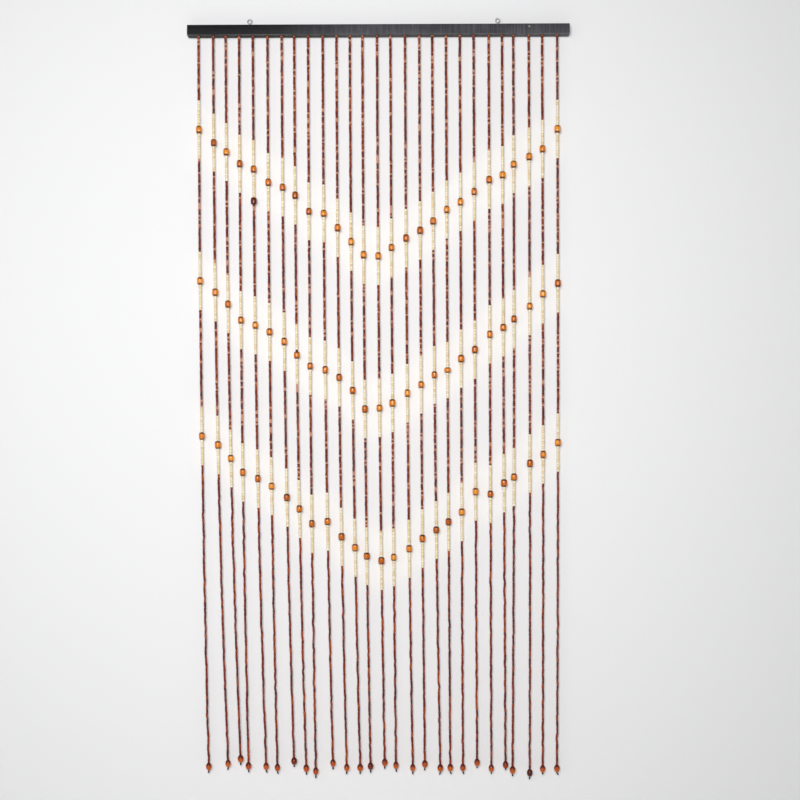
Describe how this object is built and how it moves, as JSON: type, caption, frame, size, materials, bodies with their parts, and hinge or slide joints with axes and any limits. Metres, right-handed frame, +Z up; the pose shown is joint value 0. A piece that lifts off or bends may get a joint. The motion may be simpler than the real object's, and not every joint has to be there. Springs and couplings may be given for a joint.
{
  "type": "bead door curtain with hanging bar",
  "caption": "Door curtain of threaded wooden bead strands with barrel beads in V rows, hung from a black square wooden bar with wire screw eyes on its top.",
  "frame": {"origin": "midway between the centres of the two screw eyes that the curtain hangs on", "axes": "+X along the bar to the viewer's right, +Y back to the wall, +Z up"},
  "size_m": [0.9, 0.024, 1.7994],
  "materials": {
    "painted_bar": "black paint on sawn wood, satin, faint grain and saw marks",
    "eye_wire": "bright zinc-plated wire",
    "brown_bead": "red-brown stained and varnished, mottled",
    "cream_bead": "pale natural, satin",
    "amber_bead": "amber-stained and varnished, darker at its ends"
  },
  "bodies": {
    "root": {"head_bar": "painted_bar", "hanging_eye_left": "eye_wire", "hanging_eye_right": "eye_wire", "bead_strands": "brown_bead"}
  },
  "joints": []
}
